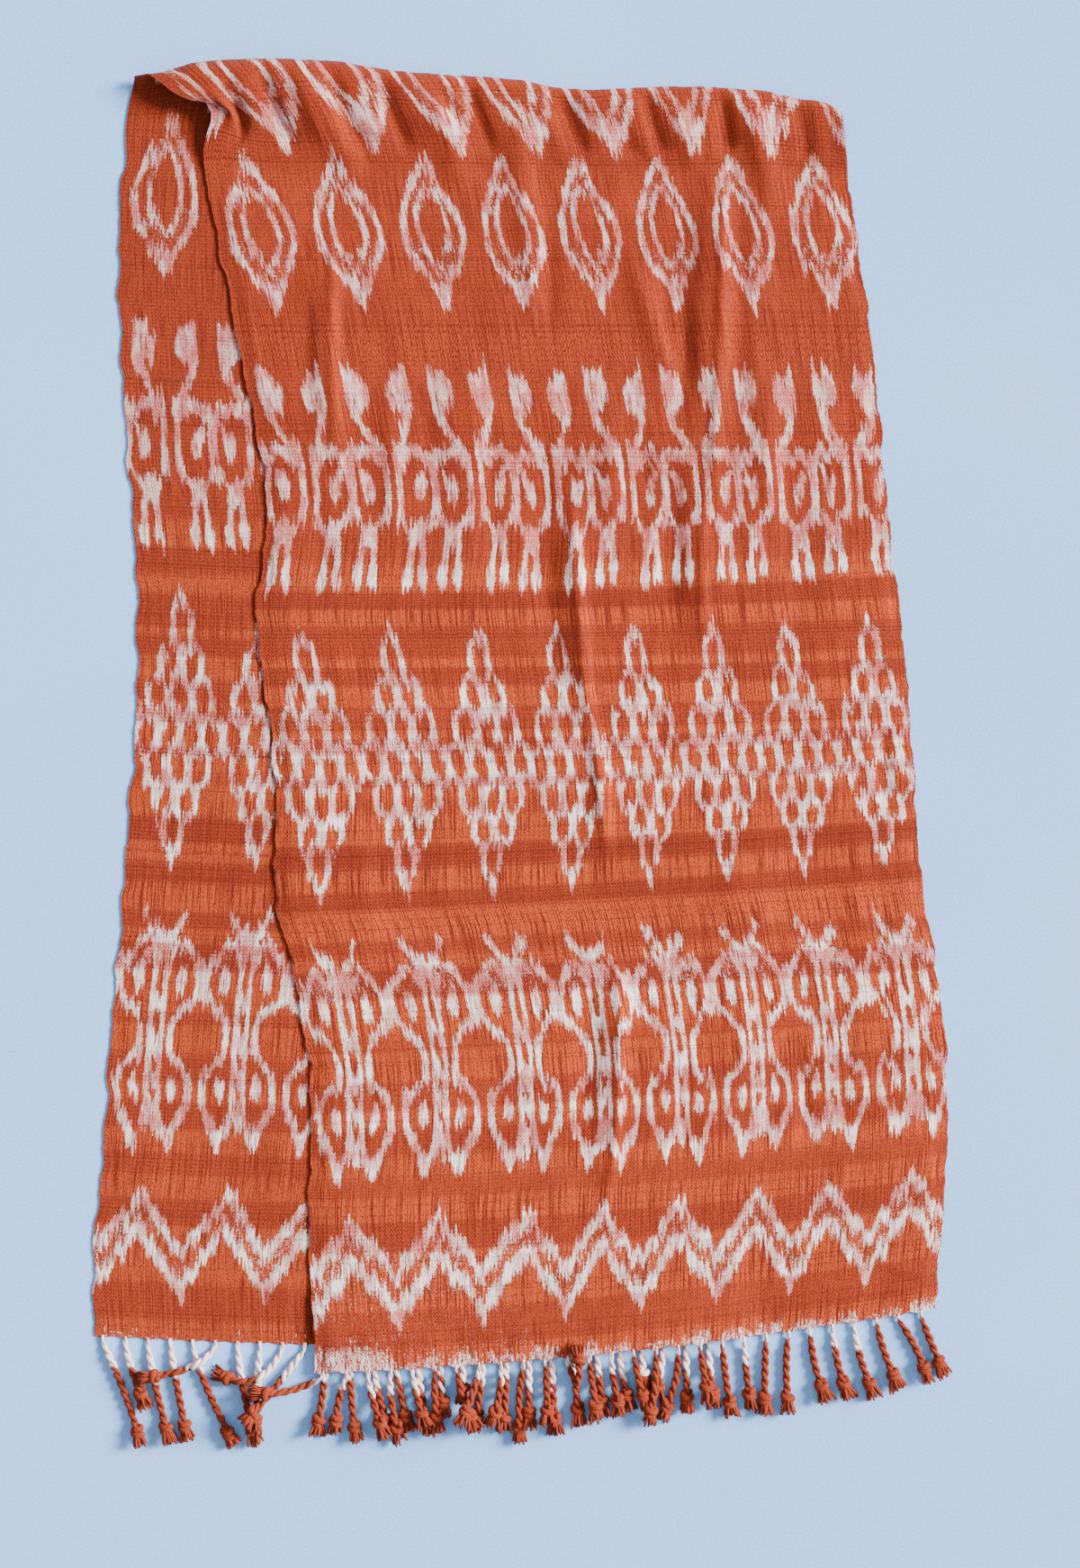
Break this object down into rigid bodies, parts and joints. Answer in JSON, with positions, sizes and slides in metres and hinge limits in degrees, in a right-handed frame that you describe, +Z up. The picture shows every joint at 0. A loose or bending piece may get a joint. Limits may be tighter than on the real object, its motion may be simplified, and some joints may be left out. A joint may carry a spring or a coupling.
{
  "type": "wrap scarf",
  "caption": "Handwoven ikat wrap scarf folded in half across its length, laid flat with a strip of the under half showing, and a knotted twisted fringe on both hems.",
  "frame": {"origin": "middle of the footprint, on the surface that the scarf lies on", "axes": "+X across the cloth to the right selvedge, +Y along the warp from the fringes to the fold, +Z up"},
  "size_m": [0.6202, 1.0038, 0.0233],
  "materials": {
    "cloth": "matte",
    "fringe": "matte"
  },
  "bodies": {
    "root": {"under_half": "cloth", "fold_roll": "cloth", "over_half": "cloth", "under_fringe": "fringe", "over_fringe": "fringe"}
  },
  "joints": []
}
